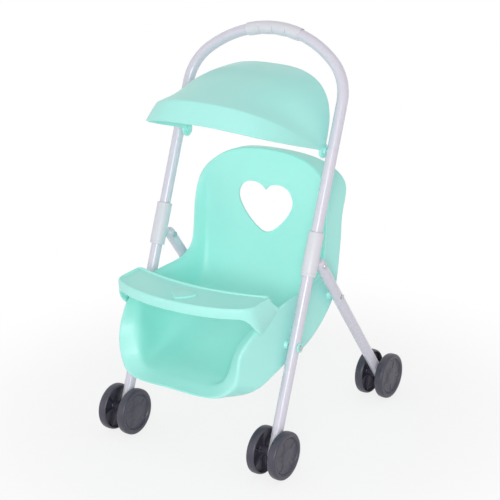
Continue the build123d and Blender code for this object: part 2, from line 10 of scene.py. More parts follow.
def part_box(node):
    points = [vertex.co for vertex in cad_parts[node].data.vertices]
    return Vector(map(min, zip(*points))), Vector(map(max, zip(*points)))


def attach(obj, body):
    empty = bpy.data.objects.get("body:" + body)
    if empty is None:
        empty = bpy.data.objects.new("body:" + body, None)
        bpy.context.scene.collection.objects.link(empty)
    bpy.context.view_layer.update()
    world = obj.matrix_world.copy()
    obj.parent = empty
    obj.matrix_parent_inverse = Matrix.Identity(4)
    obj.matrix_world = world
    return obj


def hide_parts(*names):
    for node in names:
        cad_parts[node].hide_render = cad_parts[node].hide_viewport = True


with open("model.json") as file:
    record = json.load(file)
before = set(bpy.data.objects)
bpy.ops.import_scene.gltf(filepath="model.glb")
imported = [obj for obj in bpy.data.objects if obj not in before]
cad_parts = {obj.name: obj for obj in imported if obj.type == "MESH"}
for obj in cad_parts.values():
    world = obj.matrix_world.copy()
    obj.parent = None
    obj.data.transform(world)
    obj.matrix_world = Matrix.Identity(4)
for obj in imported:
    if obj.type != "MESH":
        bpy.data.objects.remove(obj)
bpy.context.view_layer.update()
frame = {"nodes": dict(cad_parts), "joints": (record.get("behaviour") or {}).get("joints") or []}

bl_info = {
    "name": "Doll Stroller",
    "version": (1, 0, 0),
    "blender": (4, 5, 0),
    "location": "View3D > Sidebar > Stroller",
    "description": "Moulded seat, canopy, tray and wheels of a doll stroller on its tube frame",
    "category": "Object",
}

# Tables and named sizes are in millimetres unless they say otherwise.
MM = 0.001
MERGE_METRES = 1e-6
SAME_LEVEL_METRES = 1e-5
SIDES = {"left": 1, "right": -1}
ENDS = ("front", "rear")


def middle(name):
    """Centre of a frame node's box."""
    low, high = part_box(name)
    return (Vector(low) + Vector(high)) / 2


FRONT_AXLE = middle("left_front_axle")
REAR_AXLE = middle("left_rear_axle")
CANOPY_PIN = next(Vector(joint["pos_m"]) for joint in frame["joints"] if joint["name"] == "canopy_tilt")
TRACK = FRONT_AXLE.x


class StrollerSizes(bpy.types.PropertyGroup):
    """Sizes of the moulded pieces."""

    lean: bpy.props.FloatProperty(
        name="Lean", description="Lean of the front legs and the handle", default=radians(23), subtype="ANGLE"
    )
    seat_wall: bpy.props.FloatProperty(
        name="Seat wall", description="Thickness of the seat shell", default=0.0026, unit="LENGTH"
    )
    heart_width: bpy.props.FloatProperty(
        name="Heart width", description="Width of the cut-out in the backrest", default=0.082, unit="LENGTH"
    )
    channel: bpy.props.FloatProperty(
        name="Leg channel", description="Radius of the hollows for the legs in the seat's sides",
        default=0.0096, unit="LENGTH",
    )
    canopy_half: bpy.props.FloatProperty(
        name="Canopy half width", description="From the middle to an ear", default=0.103, unit="LENGTH"
    )
    canopy_wall: bpy.props.FloatProperty(
        name="Canopy wall", description="Thickness of the canopy shell", default=0.0022, unit="LENGTH"
    )
    tray_height: bpy.props.FloatProperty(
        name="Tray height", description="Top of the tray's rim above the floor", default=0.220, unit="LENGTH"
    )
    tray_depth: bpy.props.FloatProperty(
        name="Tray depth", description="Height of the tray's wall", default=0.0130, unit="LENGTH"
    )
    grip_length: bpy.props.FloatProperty(
        name="Grip length", description="Length of the plastic grip on the handle",
        default=0.079, unit="LENGTH",
    )


class StrollerColours(bpy.types.PropertyGroup):
    """Colours of the plastics, the paint and the stage."""

    mint: bpy.props.FloatVectorProperty(
        name="Mint", description="Seat, canopy and tray", default=(0.45, 0.945, 0.865), subtype="COLOR"
    )
    tube: bpy.props.FloatVectorProperty(
        name="Tube", description="Powder paint of the tubes", default=(0.72, 0.695, 0.79), subtype="COLOR"
    )
    white: bpy.props.FloatVectorProperty(
        name="White plastic", description="Grip, sleeves and feet",
        default=(0.77, 0.758, 0.82), subtype="COLOR",
    )
    wheel: bpy.props.FloatVectorProperty(
        name="Wheel", description="Charcoal of the wheels", default=(0.056, 0.053, 0.078), subtype="COLOR"
    )
    steel: bpy.props.FloatVectorProperty(
        name="Steel", description="Zinc plating of rivets, screws and axles",
        default=(0.55, 0.56, 0.58), subtype="COLOR",
    )
    floor: bpy.props.FloatVectorProperty(
        name="Floor", description="Studio floor", default=(0.90, 0.90, 0.90), subtype="COLOR"
    )


def sizes():
    return bpy.context.scene.stroller_sizes


def colours():
    return bpy.context.scene.stroller_colours


def up_the_legs():
    """The way up along the front legs and the handle."""
    lean = sizes().lean
    return Vector((0, sin(lean), cos(lean)))


def place(across, back, up):
    """Point given in millimetres: across, back from the front axle, and up from the floor."""
    return Vector((across * MM, back * MM + FRONT_AXLE.y, up * MM))


# Modelling steps that several pieces share


def deselect():
    if bpy.context.mode != "OBJECT":
        bpy.ops.object.mode_set(mode="OBJECT")
    bpy.ops.object.select_all(action="DESELECT")


def pick(*pieces):
    """Selects only these pieces, the first of them active."""
    deselect()
    for piece in pieces:
        piece.select_set(True)
    bpy.context.view_layer.objects.active = pieces[0]


def remove(piece):
    pick(piece)
    bpy.ops.object.delete()


def settle():
    """Puts the place, turn and scale of what is selected into its mesh."""
    bpy.ops.object.transform_apply(location=True, rotation=True, scale=True)


def started(name):
    """Names the primitive just added and opens it in edit mode, all selected."""
    piece = bpy.context.object
    piece.name = piece.data.name = name
    settle()
    bpy.ops.object.mode_set(mode="EDIT")
    bpy.ops.mesh.select_mode(type="VERT")
    bpy.ops.mesh.select_all(action="SELECT")
    return piece


def edit_mesh(piece):
    return bmesh.from_edit_mesh(piece.data)


def refresh(piece):
    bmesh.update_edit_mesh(piece.data)


def lay(piece, points):
    """Moves the vertices in edit mode to these points, in order."""
    mesh = edit_mesh(piece)
    for vert, point in zip(mesh.verts, points):
        vert.co = point
    refresh(piece)


def reshape(piece, moved):
    """Moves each vertex in edit mode to where a function of its place says."""
    mesh = edit_mesh(piece)
    for vert in mesh.verts:
        vert.co = moved(vert.co)
    refresh(piece)


def sheet(name, columns, rows, point):
    """A grid in edit mode, laid on the points that a function of column and row gives."""
    deselect()
    bpy.ops.mesh.primitive_grid_add(x_subdivisions=columns, y_subdivisions=rows, size=1)
    piece = started(name)
    reshape(piece, lambda spot: point(round((spot.x + 0.5) * columns), round((spot.y + 0.5) * rows)))
    return piece


def select_faces(piece, wanted):
    """Selects the faces whose centre and normal the test takes."""
    bpy.ops.mesh.select_mode(type="FACE")
    bpy.ops.mesh.select_all(action="DESELECT")
    mesh = edit_mesh(piece)
    mesh.normal_update()
    for face in mesh.faces:
        face.select_set(bool(wanted(face.calc_center_median(), face.normal)))
    mesh.select_flush(True)
    refresh(piece)


def select_edges(piece, wanted):
    """Selects the edges that the test takes."""
    bpy.ops.mesh.select_mode(type="EDGE")
    bpy.ops.mesh.select_all(action="DESELECT")
    mesh = edit_mesh(piece)
    for edge in mesh.edges:
        edge.select_set(wanted(edge))
    refresh(piece)


def rounded(point):
    """A point as a key that finds it again in a table."""
    return tuple(round(value, 6) for value in point)


def draw_out(piece, loops, extrude):
    """Draws the selected edge out from loop to loop. It lies on the first loop at the start."""
    for now, then in zip(loops, loops[1:]):
        extrude(TRANSFORM_OT_translate={"value": (0, 0, 0)})
        spot = {rounded(point): i for i, point in enumerate(now)}
        mesh = edit_mesh(piece)
        for vert in mesh.verts:
            if vert.select:
                vert.co = then[spot[rounded(vert.co)]]
        refresh(piece)


def outward():
    """Merges doubles, turns all faces outwards and leaves edit mode."""
    bpy.ops.mesh.select_mode(type="VERT")
    bpy.ops.mesh.select_all(action="SELECT")
    bpy.ops.mesh.remove_doubles(threshold=MERGE_METRES)
    bpy.ops.mesh.normals_make_consistent(inside=False)
    bpy.ops.object.mode_set(mode="OBJECT")


def face_up(piece, order):
    """Turns an open sheet so that the first face, by an order of centres, looks up."""
    bpy.ops.mesh.select_all(action="SELECT")
    bpy.ops.mesh.normals_make_consistent(inside=False)
    mesh = edit_mesh(piece)
    first = min(mesh.faces, key=lambda face: order(face.calc_center_median()))
    if first.normal.z < 0:
        bpy.ops.mesh.flip_normals()
    bpy.ops.object.mode_set(mode="OBJECT")


def apply(piece, kind, **values):
    """Adds a modifier with these values and applies it."""
    pick(piece)
    modifier = piece.modifiers.new(kind.title(), kind)
    for key, value in values.items():
        setattr(modifier, key, value)
    bpy.ops.object.modifier_apply(modifier=modifier.name)


def soften(piece, width, angle=35, segments=2):
    """Rounds the edges that are sharper than an angle in degrees."""
    apply(
        piece, "BEVEL", width=width * MM, segments=segments, limit_method="ANGLE", angle_limit=radians(angle)
    )


def joined(first, *others):
    """Joins pieces into the first one."""
    pick(first, *others)
    bpy.ops.object.join()


def turned(name, centre, axis, rings, segments=64, ring_shaped=False):
    """Round piece: a circle drawn out ring by ring. Rings are (radius, way along the axis)."""
    deselect()
    bpy.ops.mesh.primitive_circle_add(
        vertices=segments, radius=rings[0][0] * MM, fill_type="NOTHING",
        location=centre + axis * rings[0][1] * MM, rotation=axis.to_track_quat("Z", "Y").to_euler(),
    )
    piece = started(name)
    steps = rings + rings[:1] if ring_shaped else rings
    for (radius, way), (next_radius, next_way) in zip(steps, steps[1:]):
        bpy.ops.mesh.extrude_region_move(TRANSFORM_OT_translate={"value": axis * (next_way - way) * MM})
        grow = next_radius / radius
        bpy.ops.transform.resize(value=(grow, grow, grow), center_override=centre + axis * next_way * MM)
    if not ring_shaped:
        bpy.ops.mesh.select_all(action="SELECT")
        bpy.ops.mesh.fill_holes(sides=0)
    outward()
    return piece


def moved_rings(rings, way):
    """Rings moved along their axis."""
    return [(radius, way + along) for radius, along in rings]


def hand_over(piece, body, slot, stands_for, angle=40):
    """Finishes a piece: shading, the material of its slot, its body, and hiding the node that it stands for.
    """
    pick(piece)
    settle()
    bpy.ops.object.shade_smooth_by_angle(angle=radians(angle))
    piece.data.materials.clear()
    piece.data.materials.append(finish(slot))
    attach(piece, body)
    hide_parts(stands_for)


# Smooth curves through the rows of a table


def smooth_row(part, before, here, after, beyond):
    """Values part of the way from one row to the next, on the smooth curve through four rows."""
    return tuple(
        b + part / 2 * (c - a + part * (2 * a - 5 * b + 4 * c - d + part * (3 * (b - c) + d - a)))
        for a, b, c, d in zip(before, here, after, beyond)
    )


def mirrored(row, across):
    """A row seen from the other side: its values across, given by number, change their sign."""
    return tuple(-value if i in across else value for i, value in enumerate(row))


def smooth_half(rows, across, steps):
    """Rows on the smooth curve through half an edge, whose ends lie on the middle line."""
    full = []
    for i, (here, after) in enumerate(zip(rows, rows[1:])):
        before = rows[i - 1] if i else mirrored(rows[1], across)
        beyond = rows[i + 2] if i + 2 < len(rows) else mirrored(rows[-2], across)
        full += [smooth_row(step / steps, before, here, after, beyond) for step in range(steps)]
    return full + [rows[-1]]


# Shader groups

FLOAT = "NodeSocketFloat"
COLOUR = "NodeSocketColor"
WHITE = (1, 1, 1, 1)
FLOW_HEIGHT = 0.8
MARK_TURN = (0.4, 0.7, 0.2)
MARK_STRETCH = (1.0, 7.0, 2.0)
MARK_PATCHES = 22.0
MARK_LEVEL = 0.62


def node(tree, kind, inputs=None, **settings):
    """Adds a node. Its inputs, by name or number, take a value or another node's output."""
    made = tree.nodes.new(kind)
    for key, value in settings.items():
        setattr(made, key, value)
    for key, value in (inputs or {}).items():
        if isinstance(value, bpy.types.NodeSocket):
            tree.links.new(value, made.inputs[key])
        else:
            made.inputs[key].default_value = value
    return made


def maths(tree, operation, *inputs):
    """Adds a maths node and gives its output."""
    return node(tree, "ShaderNodeMath", dict(enumerate(inputs)), operation=operation).outputs[0]


def noise(tree, where, scale, detail, roughness):
    """Adds a noise texture and gives its grey value."""
    inputs = {"Vector": where, "Scale": scale, "Detail": detail, "Roughness": roughness}
    return node(tree, "ShaderNodeTexNoise", inputs).outputs["Fac"]


def spread(tree, value, source=(0, 1), target=(0, 1), **settings):
    """Maps one range of values to another and gives the output."""
    names = ("Value", "From Min", "From Max", "To Min", "To Max")
    inputs = dict(zip(names, (value, *source, *target)))
    return node(tree, "ShaderNodeMapRange", inputs, **settings).outputs[0]


def group_inputs(tree, **defaults):
    """Gives a shader group its inputs. Returns them and the place on the object."""
    for label, default in defaults.items():
        kind = COLOUR if isinstance(default, tuple) else FLOAT
        tree.interface.new_socket(label, in_out="INPUT", socket_type=kind).default_value = default
    return node(tree, "NodeGroupInput").outputs, node(tree, "ShaderNodeTexCoord").outputs["Object"]


def group_outputs(tree, kind, **results):
    """Gives a shader group its outputs, all of one kind."""
    for label in results:
        tree.interface.new_socket(label, in_out="OUTPUT", socket_type=kind)
    node(tree, "NodeGroupOutput", results)


def moulded_skin(tree):
    """Fine spark-eroded skin of a moulding: a height for the bump and a slow sheen."""
    given, where = group_inputs(tree, Scale=900.0, Flow=14.0)
    fine = noise(tree, where, given["Scale"], detail=3.0, roughness=0.55)
    flow = noise(tree, where, given["Flow"], detail=2.0, roughness=0.5)
    height = maths(tree, "MULTIPLY_ADD", flow, FLOW_HEIGHT, fine)
    group_outputs(tree, FLOAT, Height=height, Sheen=flow)


def tone_drift(tree):
    """Slow drift of a colour over the surface, with paler and deeper places."""
    given, where = group_inputs(tree, Colour=(0.5, 0.5, 0.5, 1), Amount=0.06, Scale=9.0)
    cloud = noise(tree, where, given["Scale"], detail=4.0, roughness=0.6)
    centred = maths(tree, "SUBTRACT", cloud, 0.5)
    gain = maths(tree, "MULTIPLY_ADD", centred, given["Amount"], 1.0)
    scaled = node(tree, "ShaderNodeVectorMath", {0: given["Colour"], "Scale": gain}, operation="SCALE")
    group_outputs(tree, COLOUR, Colour=scaled.outputs[0])


def handling_marks(tree):
    """Fine rubbed streaks and scuffs from use, as a mask."""
    given, where = group_inputs(tree, Scale=60.0, Cover=0.4)
    stretched = node(
        tree, "ShaderNodeMapping", {"Vector": where, "Rotation": MARK_TURN, "Scale": MARK_STRETCH}
    ).outputs[0]
    streaks = noise(tree, stretched, given["Scale"], detail=5.0, roughness=0.7)
    patches = noise(tree, where, MARK_PATCHES, detail=3.0, roughness=0.5)
    both = maths(tree, "MULTIPLY", streaks, patches)
    lowest = maths(tree, "SUBTRACT", MARK_LEVEL, given["Cover"])
    group_outputs(tree, FLOAT, Mask=spread(tree, both, (lowest, MARK_LEVEL)))


def placed(tree, fill, **values):
    """Places a shader group with its own values, and makes it on its first use."""
    name = fill.__name__
    if name not in bpy.data.node_groups:
        fill(bpy.data.node_groups.new(name, "ShaderNodeTree"))
    return node(tree, "ShaderNodeGroup", values, node_tree=bpy.data.node_groups[name]).outputs


# Finishes: the look of each material slot

FINISHES = {
    "mint_plastic": dict(
        name="mint_plastic_moulded", colour="mint", rough=0.40, grain=1500.0, grain_depth=0.05,
        marks=0.05, glow=0.10, specular=0.45, coat=0.15,
    ),
    "white_tube": dict(
        name="white_powder_paint", colour="tube", rough=0.27, grain=700.0, grain_depth=0.09,
        marks=0.10, mark_tone=0.75, coat=0.5, flow=60.0,
    ),
    "white_plastic": dict(
        name="white_plastic_moulded", colour="white", rough=0.38, grain=1400.0, grain_depth=0.05,
        marks=0.08, mark_tone=0.8,
    ),
    "wheel_plastic": dict(
        name="charcoal_wheel_plastic", colour="wheel", rough=0.40, rough_drift=0.08, grain=1200.0,
        grain_depth=0.08, drift=0.25, marks=0.5, mark_tone=2.0, specular=0.55, drift_scale=30.0,
    ),
    "steel": dict(
        name="zinc_plated_steel", colour="steel", rough=0.34, rough_drift=0.08, grain=900.0,
        grain_depth=0.04, drift=0.2, marks=0.4, mark_tone=0.7, metallic=1.0, drift_scale=120.0,
    ),
}
MARK_COVER = 0.30
MARK_DULLNESS = 0.25
SHEEN_RANGE = (0.25, 0.75)
BUMP_STRENGTH = 0.35
COAT_ROUGHNESS = 0.22
GLOW_RADIUS = (0.55, 1.0, 0.92)
GLOW_METRES = 0.003


def finish(slot):
    """The material of a slot, made on its first use."""
    name = FINISHES[slot]["name"]
    if name not in bpy.data.materials:
        finish_material(**FINISHES[slot])
    return bpy.data.materials[name]


def cleared(owner):
    """The empty shader tree of a new material or world."""
    owner.use_nodes = True
    owner.node_tree.nodes.clear()
    return owner.node_tree


def finish_material(
    name, colour, rough, grain, grain_depth, marks, rough_drift=0.05, drift=0.05, mark_tone=1.3, metallic=0.0,
    coat=0.0, glow=0.0, specular=0.5, drift_scale=9.0, flow=14.0,
):
    """A plastic, paint or metal: drifting tone, moulded or sprayed skin, and marks from handling."""
    hue = tuple(getattr(colours(), colour))
    material = bpy.data.materials.new(name)
    material.diffuse_color = (*hue, 1)
    tree = cleared(material)
    tone = placed(tree, tone_drift, Colour=(*hue, 1), Amount=drift, Scale=drift_scale)
    skin = placed(tree, moulded_skin, Scale=grain, Flow=flow)
    rub = placed(tree, handling_marks, Cover=MARK_COVER)
    faint = maths(tree, "MULTIPLY", rub["Mask"], marks)
    rubbed_hue = (*(min(1.0, part * mark_tone) for part in hue), 1)
    # Sockets 6 and 7 are the two colours of a colour mix, and output 2 is its result
    worn = node(
        tree, "ShaderNodeMix", {"Factor": faint, 6: tone["Colour"], 7: rubbed_hue}, data_type="RGBA"
    ).outputs[2]
    gloss = spread(tree, skin["Sheen"], SHEEN_RANGE, (rough - rough_drift, rough + rough_drift))
    bump = node(tree, "ShaderNodeBump", {
        "Height": skin["Height"], "Strength": BUMP_STRENGTH, "Distance": grain_depth * MM,
    }).outputs[0]
    body = node(tree, "ShaderNodeBsdfPrincipled", {
        "Base Color": worn, "Roughness": maths(tree, "MULTIPLY_ADD", faint, MARK_DULLNESS, gloss),
        "Normal": bump, "Metallic": metallic, "Specular IOR Level": specular,
        "Coat Weight": coat, "Coat Roughness": COAT_ROUGHNESS,
        "Subsurface Weight": glow, "Subsurface Radius": GLOW_RADIUS, "Subsurface Scale": GLOW_METRES,
    })
    node(tree, "ShaderNodeOutputMaterial", {"Surface": body.outputs[0]})


# Wheels

WHEEL_WIDTH = 13.0
WHEEL_RINGS = [
    (0.9, 11.9), (5.8, 11.85), (8.6, 11.75), (9.2, 11.5), (10.4, 11.4), (20.6, 11.2), (21.6, 11.1),
    (22.3, 10.5), (23, 10.5), (23.5, 11.2), (24, 12.3), (24.7, 12.85), (25.6, 13), (27.6, 12.9),
    (28.6, 12.5), (29.4, 11.7), (29.85, 10.5), (30, 9.2), (30, 6.8), (29.9, 5), (29.6, 3.5),
    (29.1, 2.4), (28.5, 1.8), (27.9, 1.6), (27.4, 1.85), (27.2, 2.5), (26.7, 7.4), (26.1, 8.2),
    (25.2, 8.4), (8.2, 8.6), (7, 8.2), (6.5, 7.4), (6.4, -2.2), (6, -2.75), (5.4, -2.9), (2.5, -2.9),
    (2.2, -2.6), (2.2, 9),
]
WHEEL_SEGMENTS = 100
WHEEL_SHADE_ANGLE = 32
POCKETS = 5
POCKET_SEGMENTS = WHEEL_SEGMENTS // POCKETS
POCKET_MARGIN = 2
POCKET_RADII = (10.5, 20.4)
POCKET_FACE = 10.8
POCKET_INSET = 1.0
POCKET_DEPTH = 0.7
RIBS = 6
RIB_SIZE = (4.2, 1.6, 21.2)
RIB_MIDDLE = Vector((6.6, 0, 16.2))
RIB_TAPER = (1, 0.7, 0.97)
SPIN_STEP = 37


class STROLLER_OT_wheels(bpy.types.Operator):
    """Model one wheel with its rim, groove, pockets and hollow back, and set eight on the axles"""

    bl_idname = "stroller.wheels"
    bl_label = "Wheels"

    def execute(self, context):
        low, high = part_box("left_front_outer_wheel")
        hub_width = (high[0] - low[0]) / MM
        inner_face = Vector((high[0] - WHEEL_WIDTH * MM, FRONT_AXLE.y, FRONT_AXLE.z))
        rings = [(radius, max(way, WHEEL_WIDTH - hub_width)) for radius, way in WHEEL_RINGS]
        wheel = turned("wheel_pattern", inner_face, Vector((1, 0, 0)), rings, WHEEL_SEGMENTS)
        bpy.ops.object.mode_set(mode="EDIT")

        def in_pocket(centre, normal):
            away = centre - inner_face
            flat = Vector((away.y, away.z))
            step = int(flat.angle_signed(Vector((0, 1))) / (2 * pi) % 1.0 * WHEEL_SEGMENTS)
            on_face = away.x > POCKET_FACE * MM and POCKET_RADII[0] < flat.length / MM < POCKET_RADII[1]
            return on_face and POCKET_MARGIN <= step % POCKET_SEGMENTS < POCKET_SEGMENTS - POCKET_MARGIN

        select_faces(wheel, in_pocket)
        bpy.ops.mesh.inset(thickness=POCKET_INSET * MM, depth=-POCKET_DEPTH * MM, use_boundary=True)
        outward()
        soften(wheel, 0.25, 28)
        joined(wheel, *(self.rib(inner_face, i) for i in range(RIBS)))
        for end in ENDS:
            for side, hand in SIDES.items():
                for row, facing in (("outer", hand), ("inner", -hand)):
                    # Each wheel stands at a turn of its own
                    turn_count = len(end) + hand + 2 * (row == "inner")
                    self.fit(wheel, inner_face, f"{side}_{end}", row, facing, radians(SPIN_STEP * turn_count))
        remove(wheel)
        return {"FINISHED"}

    def fit(self, wheel, inner_face, leg, row, facing, spin):
        """Copies the wheel to its axle, with its face away from the leg."""
        name = f"{leg}_{row}_wheel"
        axle = middle(f"{leg}_axle")
        low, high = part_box(name)
        face_x = high[0] if facing > 0 else low[0]
        pick(wheel)
        bpy.ops.object.duplicate(linked=False)
        copy = bpy.context.object
        copy.name = copy.data.name = f"{name}_moulded"
        there = Matrix.Translation((face_x - facing * WHEEL_WIDTH * MM, axle.y, axle.z))
        turn = Matrix.Rotation(0 if facing > 0 else pi, 4, "Z") @ Matrix.Rotation(spin, 4, "X")
        copy.matrix_world = there @ turn @ Matrix.Translation(-inner_face)
        hand_over(copy, f"{leg}_wheels", "wheel_plastic", name, WHEEL_SHADE_ANGLE)

    def rib(self, centre, number):
        """A thin rib in the wheel's hollow back, from the hub to the rim."""
        deselect()
        bpy.ops.mesh.primitive_cube_add(size=1)
        bpy.ops.transform.resize(value=[side * MM for side in RIB_SIZE])
        rib = started(f"wheel_rib_{number}")
        bpy.ops.transform.translate(value=centre + RIB_MIDDLE * MM)
        select_faces(rib, lambda spot, normal: normal.x < -0.9)
        bpy.ops.transform.resize(value=RIB_TAPER)
        bpy.ops.object.mode_set(mode="OBJECT")
        soften(rib, 0.3)
        turn = Matrix.Rotation(2 * pi * number / RIBS, 4, "X")
        rib.matrix_world = Matrix.Translation(centre) @ turn @ Matrix.Translation(-centre)
        settle()
        return rib


# Seat: stations go from the middle of the front lip round the rim to the top of the backrest. Each gives the
# rim's crest, the skirt's edge, the floor's edge and the inner edge of the rim's band as (across, back, up),
# then the wall's foot across and the rim's roll.

SEAT_STATIONS = [
    (0, -50, 107, 0, -30, 103.5, 0, -18, 115.5, 0, -31, 113.4, 0, 6.5),
    (60, -47.5, 108, 62, -28, 103.5, 40, -17, 115.5, 46, -29.5, 114.6, 44, 7),
    (85.5, -36, 127, 94, -6, 110, 52, -8, 117, 64.5, -23.5, 130, 60, 7),
    (90, -29, 162, 103.5, 26, 123, 57, 17, 119, 71.5, -11.5, 165, 70, 7),
    (98, 4, 191, 105, 54, 129, 60, 45, 123, 83, 13, 187, 78, 6.5),
    (101, 56, 204, 104.5, 85, 132, 61, 74, 130.5, 93.5, 60, 197, 82, 6),
    (100, 106, 205, 104, 123, 145.5, 63, 109, 142.5, 93.5, 107, 198, 84, 6),
    (100, 136.5, 216, 104, 160, 176, 66, 143, 166, 94, 141, 210, 87, 6),
    (100.5, 145.5, 246, 104, 175, 227, 68, 160, 207, 95, 151.5, 241, 90, 6),
    (100, 151, 280, 102.5, 185, 275, 70, 165, 258, 93.5, 157, 276, 90, 6),
    (93, 164, 312, 95.5, 204, 311, 65, 167.5, 300, 87, 165, 308, 84, 3.8),
    (58, 175.5, 338.5, 60, 204, 335, 38, 171, 322, 53, 174, 333, 48, 3.2),
    (0, 178, 347, 0, 200, 342.5, 0, 173, 329, 0, 176, 340, 0, 3.2),
]
SEAT_ACROSS = (0, 3, 6, 9, 12)
# Numbers of the smoothed stations where the floor's grid starts and ends, and of the last one
LIP_STATION = 3
TOP_STATION = 21
LAST_STATION = 24
# Shares of the way that place the loops between the edges
LIP_RISE = 0.4
TOP_RISE = 0.3
CORNER_RISE = 0.10
CORNER_IN = 0.06
WALL_MIDDLE = 0.55
BAND_BULGE = 0.3
ROLL_SPREAD = 0.5
ROLL_BULGE = 0.2
ROLL_REACH = 1.7
DRAWING_ROUNDS = 6
SEAT_FLOOR = (0, 40, 121)
HEART_CURVES = (
    ((0, 0.36), (0.08, 0.49), (0.26, 0.57), (0.48, 0.57)),
    ((0.48, 0.57), (0.78, 0.57), (1.0, 0.36), (1.0, 0.08)),
    ((1.0, 0.08), (1.0, -0.30), (0.32, -1.0), (0, -1.0)),
)
HEART_STEPS = 15
HEART_UP_METRES = 0.2808
HEART_CUT_METRES = (0.02, 0.13)
POST_RINGS = [
    (9, 100.4), (7.2, 102), (6, 103.6), (5.3, 105.2), (4.9, 106.2), (4.4, 106.6), (2, 106.6),
    (1.6, 106.2),
]


def drawn_out(loop):
    """Moves a loop's points out so that the smoothed loop passes through where they were."""
    points = list(loop)
    for _ in range(DRAWING_ROUNDS):
        after = points[1:] + points[:1]
        before = points[-1:] + points[:-1]
        points = [
            here + want - (here * 4 + one + other) / 6
            for here, want, one, other in zip(points, loop, before, after)
        ]
    return points


def seat_loops():
    """Closed loops of the seat's sheet, from the floor's edge over the rim to the skirt."""
    rows = smooth_half(SEAT_STATIONS, SEAT_ACROSS, 2)
    whole = [mirrored(row, SEAT_ACROSS) for row in rows[:0:-1]] + rows[:-1]
    sections = []
    for i, row in enumerate(whole):
        crest, skirt, floor, inner = (Vector(row[k:k + 3]) for k in (0, 3, 6, 9))
        foot_across, roll = row[12:]
        station = abs(i - LAST_STATION)
        rise = LIP_RISE if station < LIP_STATION else TOP_RISE if station >= TOP_STATION else 0.0
        foot = floor.lerp(inner, rise)
        foot.x = foot_across
        inward = (inner - crest).normalized()
        outside = (skirt - crest).normalized()
        out = -(inward + outside).normalized()
        outer = crest + outside * roll * ROLL_REACH
        corner = foot.lerp(inner, CORNER_RISE) + (floor - foot) * CORNER_IN
        sections.append((
            floor,
            corner,
            corner.lerp(inner, WALL_MIDDLE),
            inner,
            inner.lerp(crest, 0.5) + out * BAND_BULGE,
            crest + inward * roll * ROLL_SPREAD + out * roll * ROLL_BULGE,
            crest + outside * roll * ROLL_SPREAD + out * roll * ROLL_BULGE,
            outer,
            outer.lerp(skirt, WALL_MIDDLE),
            skirt,
        ))
    floor_edge, *others = zip(*sections)
    loops = [floor_edge] + [drawn_out(loop) for loop in others]
    return [[place(*point) for point in loop] for loop in loops]


def heart_block(name, width, middle_up, front, back):
    """A heart with a rounded tip, laid from a circle and drawn out from front to back, in metres."""
    half = width / 2
    points = []
    for curve in HEART_CURVES:
        points += interpolate_bezier(*[Vector((*p, 0)) for p in curve], HEART_STEPS)[:-1]
    side = [(p.x * half, front, p.y * half + middle_up) for p in points] + [(0, front, -half + middle_up)]
    outline = side + [mirrored(point, (0,)) for point in side[-2:0:-1]]
    deselect()
    bpy.ops.mesh.primitive_circle_add(
        vertices=len(outline), radius=half, fill_type="NGON", rotation=(pi / 2, 0, 0)
    )
    block = started(name)
    lay(block, outline)
    bpy.ops.mesh.select_all(action="SELECT")
    bpy.ops.mesh.extrude_region_move(TRANSFORM_OT_translate={"value": (0, back - front, 0)})
    outward()
    return block


class STROLLER_OT_seat(bpy.types.Operator):
    """Model the one-piece seat: bucket, rolled rim, flared lip, leg channels, screw posts and the heart"""

    bl_idname = "stroller.seat"
    bl_label = "Seat"

    def execute(self, context):
        seat = self.bucket(seat_loops())
        apply(seat, "SUBSURF", levels=3, render_levels=3)
        self.press_channels(seat)
        apply(seat, "SOLIDIFY", thickness=sizes().seat_wall, offset=-1, use_even_offset=True)
        self.cut_heart(seat)
        soften(seat, 0.5, 50)
        screws = ("front_seat_screws", "rear_seat_screws")
        joined(seat, *(self.post(side, group) for side in SIDES for group in screws))
        hand_over(seat, "frame", "mint_plastic", "seat_shell")
        return {"FINISHED"}

    def bucket(self, loops):
        """A grid on the floor and backrest, whose edge is drawn out loop by loop over the rim."""
        edge = loops[0]

        def point(column, row):
            column -= LIP_STATION
            row += LIP_STATION
            if row == LIP_STATION:
                return edge[LAST_STATION + column]
            if row == TOP_STATION:
                return edge[LAST_STATION + (LAST_STATION - abs(column)) * (1 if column > 0 else -1)]
            left = edge[LAST_STATION + row]
            return Vector((left.x * column / LIP_STATION, left.y, left.z))

        seat = sheet("seat_moulded", 2 * LIP_STATION, TOP_STATION - LIP_STATION, point)
        select_edges(seat, lambda line: line.is_boundary)
        draw_out(seat, loops, bpy.ops.mesh.extrude_region_move)
        on_floor = place(*SEAT_FLOOR)
        face_up(seat, lambda centre: (centre - on_floor).length)
        return seat

    def press_channels(self, seat):
        """Presses the hollows for the front and rear legs into the seat's sides."""
        radius = sizes().channel
        lines = (
            (FRONT_AXLE, up_the_legs()),
            (REAR_AXLE, (middle("left_leg_pin") - REAR_AXLE).normalized()),
        )

        def pressed(spot):
            for start, along in lines:
                away = Vector((0, spot.y - start.y, spot.z - start.z))
                off = (away - along * away.dot(along)).length
                if off < radius:
                    limit = TRACK - sqrt(radius * radius - off * off)
                    spot.x = max(-limit, min(limit, spot.x))
            return spot

        bpy.ops.object.mode_set(mode="EDIT")
        reshape(seat, pressed)
        bpy.ops.object.mode_set(mode="OBJECT")

    def cut_heart(self, seat):
        cutter = heart_block("heart_cutter", sizes().heart_width, HEART_UP_METRES, *HEART_CUT_METRES)
        apply(seat, "BOOLEAN", operation="DIFFERENCE", object=cutter, solver="EXACT")
        remove(cutter)

    def post(self, side, screws):
        """Round post between the seat's side and the leg, round a screw."""
        centre = middle(screws)
        centre.x = 0
        return turned(f"{side}_{screws}_post", centre, Vector((SIDES[side], 0, 0)), POST_RINGS, 40)


# Canopy: arches about the pin line as (back, rise, squareness), from the front rim to the back rim

